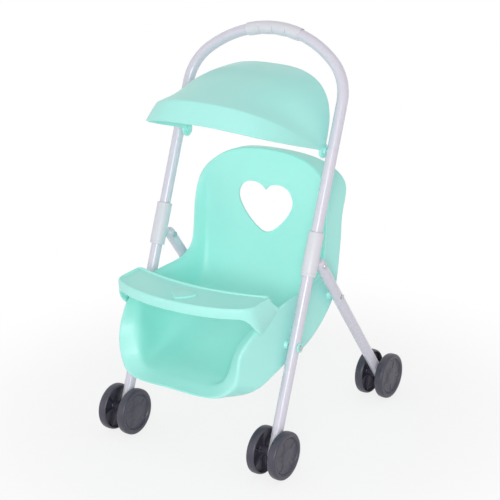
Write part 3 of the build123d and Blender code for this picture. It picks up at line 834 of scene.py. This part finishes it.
CANOPY_ARCHES = [
    (-124, 44.5, 3.8), (-108, 67.5, 3.1), (-74.4, 75.0, 2.6), (-37.2, 84.0, 2.75), (4.4, 88.5, 2.8),
    (44, 87.5, 2.8),
]
CANOPY_ROWS = (0, 0.08, 0.5, 0.86, 1.0, 1.14, 1.5, 2, 2.5, 3, 3.5, 4, 4.4, 4.75, 4.95, 5)
CANOPY_COLUMNS = 40
CANOPY_BRIM_LIFT = 5.5
CANOPY_EDGE = 7.5
EAR_RINGS = [
    (2.6, 0), (8.0, 0), (8.9, -0.4), (9.3, -1.2), (9.3, -2.2), (8.8, -2.9), (8.0, -3.1), (2.6, -3.1)
]


def canopy_arch(step):
    """Values of the arch at a step along the canopy: straight up the front fascia, smooth over the roof."""
    if step <= 1:
        return tuple(a + (b - a) * step for a, b in zip(CANOPY_ARCHES[0], CANOPY_ARCHES[1]))
    last = len(CANOPY_ARCHES) - 1
    i = min(int(step), last - 1)
    return smooth_row(step - i, *(CANOPY_ARCHES[max(1, min(last, i + k))] for k in (-1, 0, 1, 2)))


class STROLLER_OT_canopy(bpy.types.Operator):
    """Model the canopy: a curved shell with a front fascia and a round ear at each side"""

    bl_idname = "stroller.canopy"
    bl_label = "Canopy"

    def execute(self, context):
        size = sizes()
        half = size.canopy_half / MM

        def point(column, row):
            return self.shell_point(half, column / CANOPY_COLUMNS, CANOPY_ROWS[row])

        canopy = sheet("canopy_moulded", CANOPY_COLUMNS, len(CANOPY_ROWS) - 1, point)
        face_up(canopy, lambda centre: -centre.z)
        apply(canopy, "SUBSURF", levels=2, render_levels=2)
        apply(canopy, "SOLIDIFY", thickness=size.canopy_wall, offset=-1, use_even_offset=True)
        soften(canopy, 0.7, 55, 3)
        rings = moved_rings(EAR_RINGS, half)
        centre = Vector((0, CANOPY_PIN.y, CANOPY_PIN.z))
        joined(canopy, *(
            turned(f"{side}_ear", centre, Vector((hand, 0, 0)), rings, 56, ring_shaped=True)
            for side, hand in SIDES.items()
        ))
        hand_over(canopy, "canopy", "mint_plastic", "canopy")
        return {"FINISHED"}

    def shell_point(self, half, part, step):
        """Point on the canopy's outside: part goes from one ear over the top to the other."""
        back, rise, power = canopy_arch(step)
        reach = sqrt(back * back + rise * rise)
        first = CANOPY_EDGE / half
        turn = first + (pi - 2 * first) * part
        spoke = (abs(cos(turn) / half) ** power + abs(sin(turn) / reach) ** power) ** (-1 / power)
        across, height = spoke * cos(turn), spoke * sin(turn)
        # The brim's lift is whole up to the second arch and fades out at the fourth
        lift = CANOPY_BRIM_LIFT * max(0.0, min(1.0, 1.5 - step / 2)) * (1 - (across / half) ** 2)
        arch = Vector((0, back, rise)) / reach * height * MM
        return Vector((across * MM, 0, lift * MM)) + CANOPY_PIN + arch


# Tray: half its edge from the middle of the back to the middle of the front, as the top's (across, back) and
# the wall's lower edge (across, back, up). At its ends the wall runs down as a slanted flap over the arm.

TRAY_FOOT = 207
TRAY_EDGE = [
    (0, 14.0, 0, 14.0, TRAY_FOOT), (34, 16.0, 34, 16.0, TRAY_FOOT), (66, 21.5, 66, 21.5, TRAY_FOOT),
    (86, 26.8, 86, 26.8, TRAY_FOOT), (92.8, 28.4, 93.0, 28.5, TRAY_FOOT), (96.8, 27.8, 99.0, 31.0, 206.0),
    (99.2, 25.2, 103.6, 33.6, 203.6), (100, 20.6, 104.6, 31.6, 201.2), (100, 13, 103.8, 24.0, 195.7),
    (100, 3, 102.8, 12.2, 188.0), (100, -5, 102.0, 2.8, 182.4), (99.7, -9.5, 101.5, -1.2, 181.8),
    (98.2, -14.5, 100.4, -9.4, 190.4), (94.6, -19.4, 96.4, -17.0, 200.8), (89.5, -23.4, 90.2, -23, 206.4),
    (82, -27.2, 82, -27.2, TRAY_FOOT), (66, -33.8, 66, -33.8, TRAY_FOOT), (36, -40.6, 36, -40.6, TRAY_FOOT),
    (0, -43, 0, -43, TRAY_FOOT),
]
TRAY_ACROSS = (0, 2)
TRAY_EDGE_STEPS = 6
# Sections of the wall as (way inwards, up): over the rim from the dish, round the foot, and the underside
TRAY_RIM = (
    (5.3, -2.2), (4.8, -2.2), (4.3, -2.0), (3.9, -1.4), (3.55, -0.6), (3.1, -0.12), (2.6, 0), (1.9, -0.15),
    (1.1, -0.75), (0.45, -1.9), (0.05, -3.6), (0, -5.0),
)
TRAY_WALL_FOOT = ((0, 0.8), (0.25, 0.25), (0.8, 0), (1.7, 0), (2.25, 0.25), (2.5, 0.8))
TRAY_UNDER = ((2.5, -5.6), (3.0, -4.95), (4.0, -4.8))
TRAY_HEART_WIDTH = 34
TRAY_HEART_BACK = -13
TRAY_HEART_HEIGHT = 2.0
TRAY_HEART_SUNK = 0.4


def tray_edge():
    """The tray's whole edge, with the way inwards at each point."""
    half = smooth_half(TRAY_EDGE, TRAY_ACROSS, TRAY_EDGE_STEPS)
    edge = half + [mirrored(point, TRAY_ACROSS) for point in half[-2:0:-1]]
    ways = []
    for before, after in zip(edge[-1:] + edge[:-1], edge[1:] + edge[:1]):
        along = Vector((after[0] - before[0], after[1] - before[1])).normalized()
        ways.append(Vector((along.y, -along.x)))
    return list(zip(edge, ways))


class STROLLER_OT_tray(bpy.types.Operator):
    """Model the tray: shallow dish with a raised rim, hollow underside and a flap over each arm"""

    bl_idname = "stroller.tray"
    bl_label = "Tray"

    def execute(self, context):
        size = sizes()
        top = size.tray_height / MM
        lower = TRAY_FOOT - (top - size.tray_depth / MM)
        edge = tray_edge()

        def at_top(inset, up):
            return [place(e[0] + way.x * inset, e[1] + way.y * inset, top + up) for e, way in edge]

        def at_foot(inset, up):
            return [place(e[2] + way.x * inset, e[3] + way.y * inset, e[4] - lower + up) for e, way in edge]

        levels = [at_top(*step) for step in TRAY_RIM]
        levels += [at_foot(*step) for step in TRAY_WALL_FOOT]
        levels += [at_top(*step) for step in TRAY_UNDER]
        tray = self.dish(levels)
        joined(tray, self.heart(top + TRAY_RIM[0][1]))
        hand_over(tray, "tray", "mint_plastic", "tray")
        return {"FINISHED"}

    def dish(self, levels):
        """An outline drawn out level by level, from the floor over the rim to the underside."""
        deselect()
        bpy.ops.mesh.primitive_circle_add(vertices=len(levels[0]), radius=0.1, fill_type="NOTHING")
        tray = started("tray_moulded")
        lay(tray, levels[0])
        bpy.ops.mesh.select_mode(type="EDGE")
        draw_out(tray, levels, bpy.ops.mesh.extrude_edges_move)
        for level in (levels[-1], levels[0]):
            up = level[0].z
            select_edges(
                tray, lambda line: line.is_boundary and abs(line.verts[0].co.z - up) < SAME_LEVEL_METRES
            )
            bpy.ops.mesh.fill(use_beauty=True)
        outward()
        return tray

    def heart(self, up):
        """A small raised heart in the middle of the dish."""
        heart = heart_block(
            "tray_heart", TRAY_HEART_WIDTH * MM, 0, -TRAY_HEART_HEIGHT * MM, TRAY_HEART_SUNK * MM
        )
        laid_flat = Matrix.Rotation(-pi / 2, 4, "X")
        heart.matrix_world = Matrix.Translation(place(0, TRAY_HEART_BACK, up)) @ laid_flat
        settle()
        soften(heart, 0.4, 50, 3)
        return heart


# Handle grip: it follows the flat arc at the top of the bow

BOW_RADIUS = 142.7
BOW_TOP = 508.0
GRIP_STEPS = 316
GRIP_SIDES = 48
GRIP_BORE = 7.1
GRIP_OUTSIDE = 8.15
GRIP_WALL = 0.5
GRIP_SHADE_ANGLE = 28
# Shares of half the grip's length, and depths, of the round ends, the finger hollows and the grooves
END_START = 0.985
END_DROP = 0.6
FINGER_SWELL = 0.5
GROOVES = 5
GROOVE_HALF = 0.018
GROOVE_RAMP = 0.004
GROOVE_DEPTH = 1.1


class STROLLER_OT_grip(bpy.types.Operator):
    """Model the plastic grip on the handle's bow, with its grooves"""

    bl_idname = "stroller.grip"
    bl_label = "Handle grip"

    def execute(self, context):
        up = up_the_legs()
        centre = Vector((0, FRONT_AXLE.y, FRONT_AXLE.z)) + up * (BOW_TOP - BOW_RADIUS) * MM
        normal = Vector((1, 0, 0)).cross(up)
        half_turn = sizes().grip_length / (BOW_RADIUS * MM) / 2
        start = Matrix.Rotation(-half_turn, 3, normal) @ up
        deselect()
        bpy.ops.mesh.primitive_circle_add(
            vertices=GRIP_SIDES, radius=GRIP_BORE * MM, fill_type="NOTHING",
            location=centre + start * BOW_RADIUS * MM,
            rotation=start.cross(normal).to_track_quat("Z", "Y").to_euler(),
        )
        grip = started("handle_grip_moulded")
        bpy.ops.mesh.spin(steps=GRIP_STEPS, angle=2 * half_turn, center=centre, axis=-normal)

        def moulded(spot):
            away = spot - centre
            flat = away - normal * away.dot(normal)
            turn = flat.angle(up) * (1 if flat.x > 0 else -1)
            ring = centre + flat.normalized() * BOW_RADIUS * MM
            out = (spot - ring).normalized()
            under = -out.dot(flat.normalized())
            return ring + out * self.radius(turn / half_turn, under) * MM

        reshape(grip, moulded)
        outward()
        apply(grip, "SOLIDIFY", thickness=GRIP_WALL * MM, offset=-1)
        hand_over(grip, "frame", "white_plastic", "handle_grip", GRIP_SHADE_ANGLE)
        return {"FINISHED"}

    def radius(self, part, under):
        """Radius at a place from -1 to 1 along the grip. Under is 1 on its underside and -1 on its top."""
        radius = GRIP_OUTSIDE
        if abs(part) > END_START:
            radius -= END_DROP * min(1.0, (abs(part) - END_START) / (1 - END_START)) ** 2
        gap = 2 / (GROOVES - 1)
        off = (part + 1) / gap
        near = abs(off - round(off)) * gap
        radius += max(0.0, under) * FINGER_SWELL * sin(pi * (off % 1.0))
        if near < GROOVE_HALF:
            # The grooves run out on the top of the grip
            depth = GROOVE_DEPTH * min(1.0, max(0.0, under * 3 + 0.9))
            radius -= depth * min(1.0, (GROOVE_HALF - near) / GROOVE_RAMP)
        return radius


# Leg joints: rings along the legs count from the axles, and those of a rivet's ends from the box of its node

SLEEVE_RINGS = [
    (7.05, 217.0), (7.6, 216.3), (8.7, 216.0), (9.2, 216.3), (9.45, 217.0), (9.5, 219.2), (9.1, 219.6),
    (9.1, 220.4), (9.5, 220.8), (9.5, 268.6), (9.25, 269.5), (8.6, 270.0), (7.5, 270.0), (7.05, 269.4),
]
LUG_ROOT = (224, 247)
LUG_HALF = 4.5
LUG_THICKNESS = 6
LEG_FOOT_RINGS = [(5.9, 20.0), (6.7, 20.0), (7.0, 20.3)]
LEG_TIP_RINGS = [(7.0, 1.5), (6.9, 3.6), (6.5, 5.4), (5.8, 6.8), (4.7, 7.8), (3.0, 8.4), (0.9, 8.6)]
RIVET_OUTER_RINGS = [
    (0.5, -0.45), (1.3, -0.4), (1.8, -0.05), (2.6, 0), (3.3, -0.2), (3.8, -0.6), (4.0, -1.1), (2.4, -1.4)
]
RIVET_INNER_RINGS = [(2.4, 1.4), (4.0, 1.1), (3.7, 0.4), (2.6, 0), (0.5, 0)]


class STROLLER_OT_leg_joints(bpy.types.Operator):
    """Model the sleeves with their lugs, the round-ended rear legs and the rivets between them"""

    bl_idname = "stroller.leg_joints"
    bl_label = "Leg joints"

    def execute(self, context):
        up = up_the_legs()
        for side, hand in SIDES.items():
            front = Vector((hand * TRACK, FRONT_AXLE.y, FRONT_AXLE.z))
            rear = Vector((hand * TRACK, REAR_AXLE.y, REAR_AXLE.z))
            pin = middle(f"{side}_leg_pin")
            pin.x = hand * TRACK
            leg = (pin - rear).normalized()
            sleeve = turned(f"{side}_sleeve_moulded", front, up, SLEEVE_RINGS, 72, ring_shaped=True)
            low_root, high_root = (front + up * (way * MM) for way in LUG_ROOT)
            half = leg * (LUG_HALF * MM)
            joined(sleeve, self.lug(side, low_root, high_root, pin - half, pin + half))
            hand_over(sleeve, "frame", "white_plastic", f"{side}_sleeve")
            rings = LEG_FOOT_RINGS + moved_rings(LEG_TIP_RINGS, (pin - rear).length / MM)
            tube = turned(f"{side}_rear_leg_round", rear, leg, rings)
            hand_over(tube, "frame", "white_tube", f"{side}_rear_leg")
            low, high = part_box(f"{side}_leg_pin")
            inner, outer = sorted((abs(low[0]) / MM, abs(high[0]) / MM))
            rings = moved_rings(RIVET_OUTER_RINGS, outer) + moved_rings(RIVET_INNER_RINGS, inner)
            hub = Vector((0, pin.y, pin.z))
            rivet = turned(f"{side}_leg_rivet", hub, Vector((hand, 0, 0)), rings, 40)
            hand_over(rivet, "frame", "steel", f"{side}_leg_pin")
        return {"FINISHED"}

    def lug(self, side, *corners):
        """Flat lug between the sleeve and the rear leg, with rounded edges."""
        deselect()
        bpy.ops.mesh.primitive_plane_add(size=1)
        lug = started(f"{side}_lug")
        lay(lug, [corner - Vector((LUG_THICKNESS / 2 * MM, 0, 0)) for corner in corners])
        bpy.ops.mesh.select_all(action="SELECT")
        bpy.ops.mesh.extrude_region_move(TRANSFORM_OT_translate={"value": (LUG_THICKNESS * MM, 0, 0)})
        outward()
        soften(lug, 0.8, 50, 3)
        return lug


# Pieces of the frame that keep their solids

LEGS = [f"{side}_{end}" for side in SIDES for end in ENDS]
FRAME_FINISH = {
    "white_tube": ["handle_tube", "left_front_leg", "right_front_leg"],
    "white_plastic": [f"{leg}_foot" for leg in LEGS],
    "steel": [f"{leg}_axle" for leg in LEGS] + ["front_seat_screws", "rear_seat_screws"],
    "mint_plastic": ["front_screw_caps", "left_canopy_pin", "right_canopy_pin"],
}


class STROLLER_OT_frame_finish(bpy.types.Operator):
    """Give the handle, front legs, feet, axles, screws and pins their finish"""

    bl_idname = "stroller.frame_finish"
    bl_label = "Frame finish"

    def execute(self, context):
        for slot, names in FRAME_FINISH.items():
            for name in names:
                piece = frame["nodes"][name]
                piece.data.materials.clear()
                piece.data.materials.append(finish(slot))
        return {"FINISHED"}


# Stage, in metres and watts

FLOOR_RADIUS = 5
FLOOR_DROP = 0.0002
FLOOR_FADE = (0.22, 0.52)
FLOOR_GLOW = 0.80
SKY_LOW = 0.74
SKY_HIGH = 0.40
LAMPS = (
    ("key_light", Vector((1.05, -1.75, 0.85)), 0.7, 14.5),
    ("fill_light", Vector((-1.2, -1.9, 0.6)), 1.2, 3),
    ("top_light", Vector((0.1, -0.2, 2.6)), 1.8, 3),
)
LAMP_AIM = Vector((0, 0, 0.2))
EYE = Vector((0.9868, -1.4125, 0.8792))
AIM = Vector((0.0134, -0.00915, 0.23566))
ROLL = radians(-1.82)
LENS = 105.36


def seen_directly(tree):
    """One where the camera, a glossy or a see-through surface looks, and zero for light."""
    path = node(tree, "ShaderNodeLightPath").outputs
    either = maths(tree, "MAXIMUM", path["Is Camera Ray"], path["Is Glossy Ray"])
    return maths(tree, "MAXIMUM", either, path["Is Transmission Ray"])


class STROLLER_OT_stage(bpy.types.Operator):
    """Set up the pale floor, the soft studio light and the camera"""

    bl_idname = "stroller.stage"
    bl_label = "Stage"

    def execute(self, context):
        self.floor()
        self.world()
        for lamp in LAMPS:
            self.lamp(*lamp)
        self.camera()
        context.scene.view_settings.view_transform = "Standard"
        return {"FINISHED"}

    def floor(self):
        """A pale disc that fades to plain white away from the stroller."""
        deselect()
        bpy.ops.mesh.primitive_circle_add(
            vertices=96, radius=FLOOR_RADIUS, fill_type="NGON", location=(0, 0, -FLOOR_DROP)
        )
        floor = started("studio_floor")
        bpy.ops.object.mode_set(mode="OBJECT")
        material = bpy.data.materials.new("pale_floor")
        tree = cleared(material)
        where = node(tree, "ShaderNodeTexCoord").outputs["Object"]
        away = node(tree, "ShaderNodeVectorMath", {0: where}, operation="LENGTH").outputs["Value"]
        fade = spread(tree, away, FLOOR_FADE, (FLOOR_GLOW, 1), interpolation_type="SMOOTHSTEP")
        amount = maths(tree, "MULTIPLY", fade, seen_directly(tree))
        matt = node(tree, "ShaderNodeBsdfDiffuse", {"Color": (*colours().floor, 1)})
        glow = node(tree, "ShaderNodeEmission", {"Color": WHITE})
        mix = node(tree, "ShaderNodeMixShader", {0: amount, 1: matt.outputs[0], 2: glow.outputs[0]})
        node(tree, "ShaderNodeOutputMaterial", {"Surface": mix.outputs[0]})
        floor.data.materials.append(material)

    def world(self):
        """Light that is softer from above, and white where it is seen."""
        world = bpy.data.worlds.new("studio")
        bpy.context.scene.world = world
        tree = cleared(world)
        where = node(tree, "ShaderNodeTexCoord").outputs["Generated"]
        way = node(tree, "ShaderNodeSeparateXYZ", {"Vector": where})
        soft = spread(tree, way.outputs["Z"], target=(SKY_LOW, SKY_HIGH))
        strength = spread(tree, seen_directly(tree), target=(soft, 1))
        sky = node(tree, "ShaderNodeBackground", {"Color": WHITE, "Strength": strength})
        node(tree, "ShaderNodeOutputWorld", {"Surface": sky.outputs[0]})

    def lamp(self, name, spot, size, power):
        deselect()
        turn = (LAMP_AIM - spot).to_track_quat("-Z", "Y").to_euler()
        bpy.ops.object.light_add(type="AREA", location=spot, rotation=turn)
        lamp = bpy.context.object
        lamp.name = name
        lamp.data.shape = "DISK"
        lamp.data.size = size
        lamp.data.energy = power

    def camera(self):
        deselect()
        bpy.ops.object.camera_add(location=EYE)
        camera = bpy.context.object
        camera.name = "photo_camera"
        look = (AIM - EYE).to_track_quat("-Z", "Y").to_matrix().to_4x4()
        camera.matrix_world = Matrix.Translation(EYE) @ look @ Matrix.Rotation(ROLL, 4, "Z")
        camera.data.lens = LENS
        camera.data.clip_start = 0.05
        bpy.context.scene.camera = camera


OPERATORS = (
    STROLLER_OT_stage,
    STROLLER_OT_frame_finish,
    STROLLER_OT_leg_joints,
    STROLLER_OT_grip,
    STROLLER_OT_wheels,
    STROLLER_OT_seat,
    STROLLER_OT_canopy,
    STROLLER_OT_tray,
)


class STROLLER_PT_panel(bpy.types.Panel):
    """Lists the steps that make the stroller"""

    bl_idname = "STROLLER_PT_panel"
    bl_label = "Doll Stroller"
    bl_space_type = "VIEW_3D"
    bl_region_type = "UI"
    bl_category = "Stroller"

    def draw(self, context):
        for operator in OPERATORS:
            self.layout.operator(operator.bl_idname)
        for group in (context.scene.stroller_sizes, context.scene.stroller_colours):
            for name in group.bl_rna.properties.keys():
                if name not in ("rna_type", "name"):
                    self.layout.prop(group, name)


CLASSES = (StrollerSizes, StrollerColours, *OPERATORS, STROLLER_PT_panel)


def register():
    for made in CLASSES:
        bpy.utils.register_class(made)
    bpy.types.Scene.stroller_sizes = bpy.props.PointerProperty(type=StrollerSizes)
    bpy.types.Scene.stroller_colours = bpy.props.PointerProperty(type=StrollerColours)


def unregister():
    del bpy.types.Scene.stroller_sizes
    del bpy.types.Scene.stroller_colours
    for made in reversed(CLASSES):
        bpy.utils.unregister_class(made)


def main():
    register()
    bpy.ops.stroller.stage()
    bpy.ops.stroller.frame_finish()
    bpy.ops.stroller.leg_joints()
    bpy.ops.stroller.grip()
    bpy.ops.stroller.wheels()
    bpy.ops.stroller.seat()
    bpy.ops.stroller.canopy()
    bpy.ops.stroller.tray()


if __name__ == "__main__":
    main()
